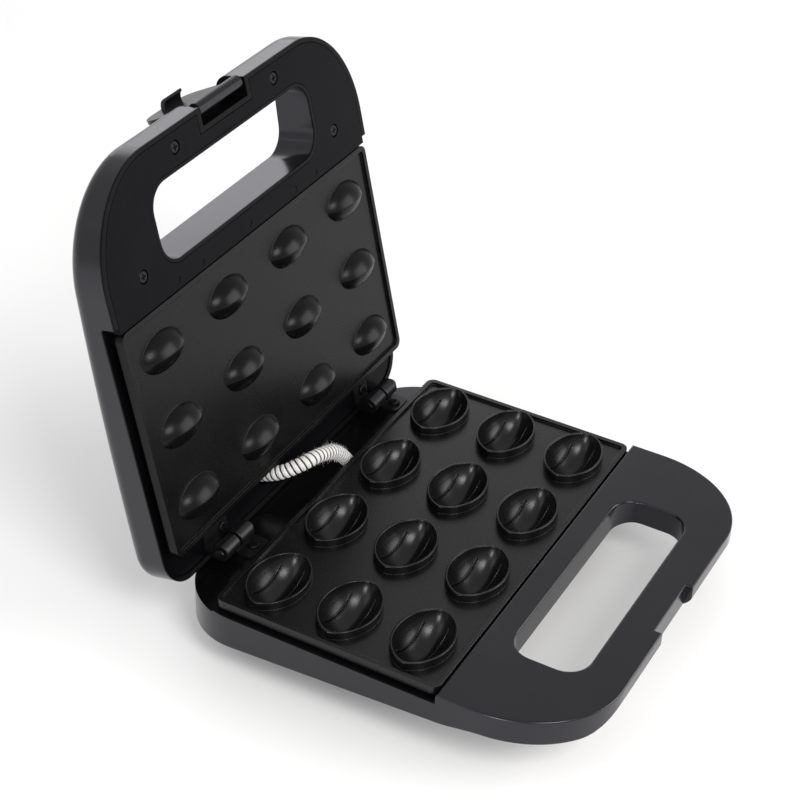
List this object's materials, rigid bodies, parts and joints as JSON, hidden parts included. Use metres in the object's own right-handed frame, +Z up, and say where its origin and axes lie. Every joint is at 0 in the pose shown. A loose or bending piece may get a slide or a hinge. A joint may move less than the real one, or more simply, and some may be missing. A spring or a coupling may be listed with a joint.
{
  "type": "nut-shaped cookie maker",
  "caption": "Countertop nut-shaped cookie cooker with a hinged lid, raised-rim half-shell cavities, matching dies, front grip loops, a flip latch and a sleeved lead at the hinge.",
  "frame": {"origin": "centre of the open appliance's bounding box, on the table under the feet", "axes": "+X to the right seen from the handles and along the hinge, +Y from the handles towards the hinge, +Z up; the lid stands open on its stop"},
  "size_m": [0.226, 0.2964, 0.2501],
  "materials": {
    "housing": "gloss",
    "dark_plastic": "satin",
    "coated_plate": "non-stick coated, satin",
    "heater_tube": "satin",
    "ceramic": "matt",
    "sheet_steel": "satin",
    "steel_screw": "satin",
    "black_screw": "black oxide",
    "rubber": "matt",
    "glass_sleeve": "braided glass fibre",
    "lead_wires": "matt",
    "red_lens": "clear",
    "green_lens": "clear"
  },
  "bodies": {
    "base": {"base_frame": "housing", "base_bottom": "dark_plastic", "lower_plate": "coated_plate", "lower_heating_element": "heater_tube", "lower_element_terminals": "ceramic", "lower_element_clamps": "sheet_steel", "lower_heat_shield": "sheet_steel", "lower_shield_screws": "steel_screw", "lower_plate_screws": "steel_screw", "cover_screws": "steel_screw", "thermostat": "sheet_steel", "thermal_fuse": "sheet_steel", "terminal_block": "ceramic", "cord_gland": "dark_plastic", "rubber_feet": "rubber", "base_hinge_left": "dark_plastic", "base_hinge_right": "dark_plastic", "hinge_pins": "steel_screw", "base_hinge_screws": "black_screw", "lead_sleeve": "glass_sleeve", "lead_core": "lead_wires"},
    "lid": {"lid_shell": "housing", "lid_inner_panel": "dark_plastic", "lid_carrier": "housing", "upper_plate": "coated_plate", "upper_heating_element": "heater_tube", "upper_element_terminals": "ceramic", "upper_element_clamps": "sheet_steel", "upper_heat_shield": "sheet_steel", "upper_shield_screws": "steel_screw", "upper_plate_screws": "steel_screw", "lid_panel_screws": "black_screw", "lid_carrier_screws": "steel_screw", "lid_hinge_left": "dark_plastic", "lid_hinge_right": "dark_plastic", "lid_hinge_screws": "black_screw", "latch_pin": "steel_screw", "power_lens": "red_lens", "ready_lens": "green_lens"},
    "latch": {"latch_clip": "dark_plastic"}
  },
  "joints": [
    {"name": "lid_hinge", "type": "hinge", "parent": "base", "child": "lid", "pos_m": [0, 0.06394, 0.04289], "axis": [1, 0, 0], "range_deg": [0, 102.6], "deforming": ["lead_sleeve", "lead_core"]},
    {"name": "latch_pivot", "type": "hinge", "parent": "lid", "child": "latch", "pos_m": [0, 0.11472, 0.24666], "axis": [1, 0, 0], "range_deg": [0, 196]}
  ]
}
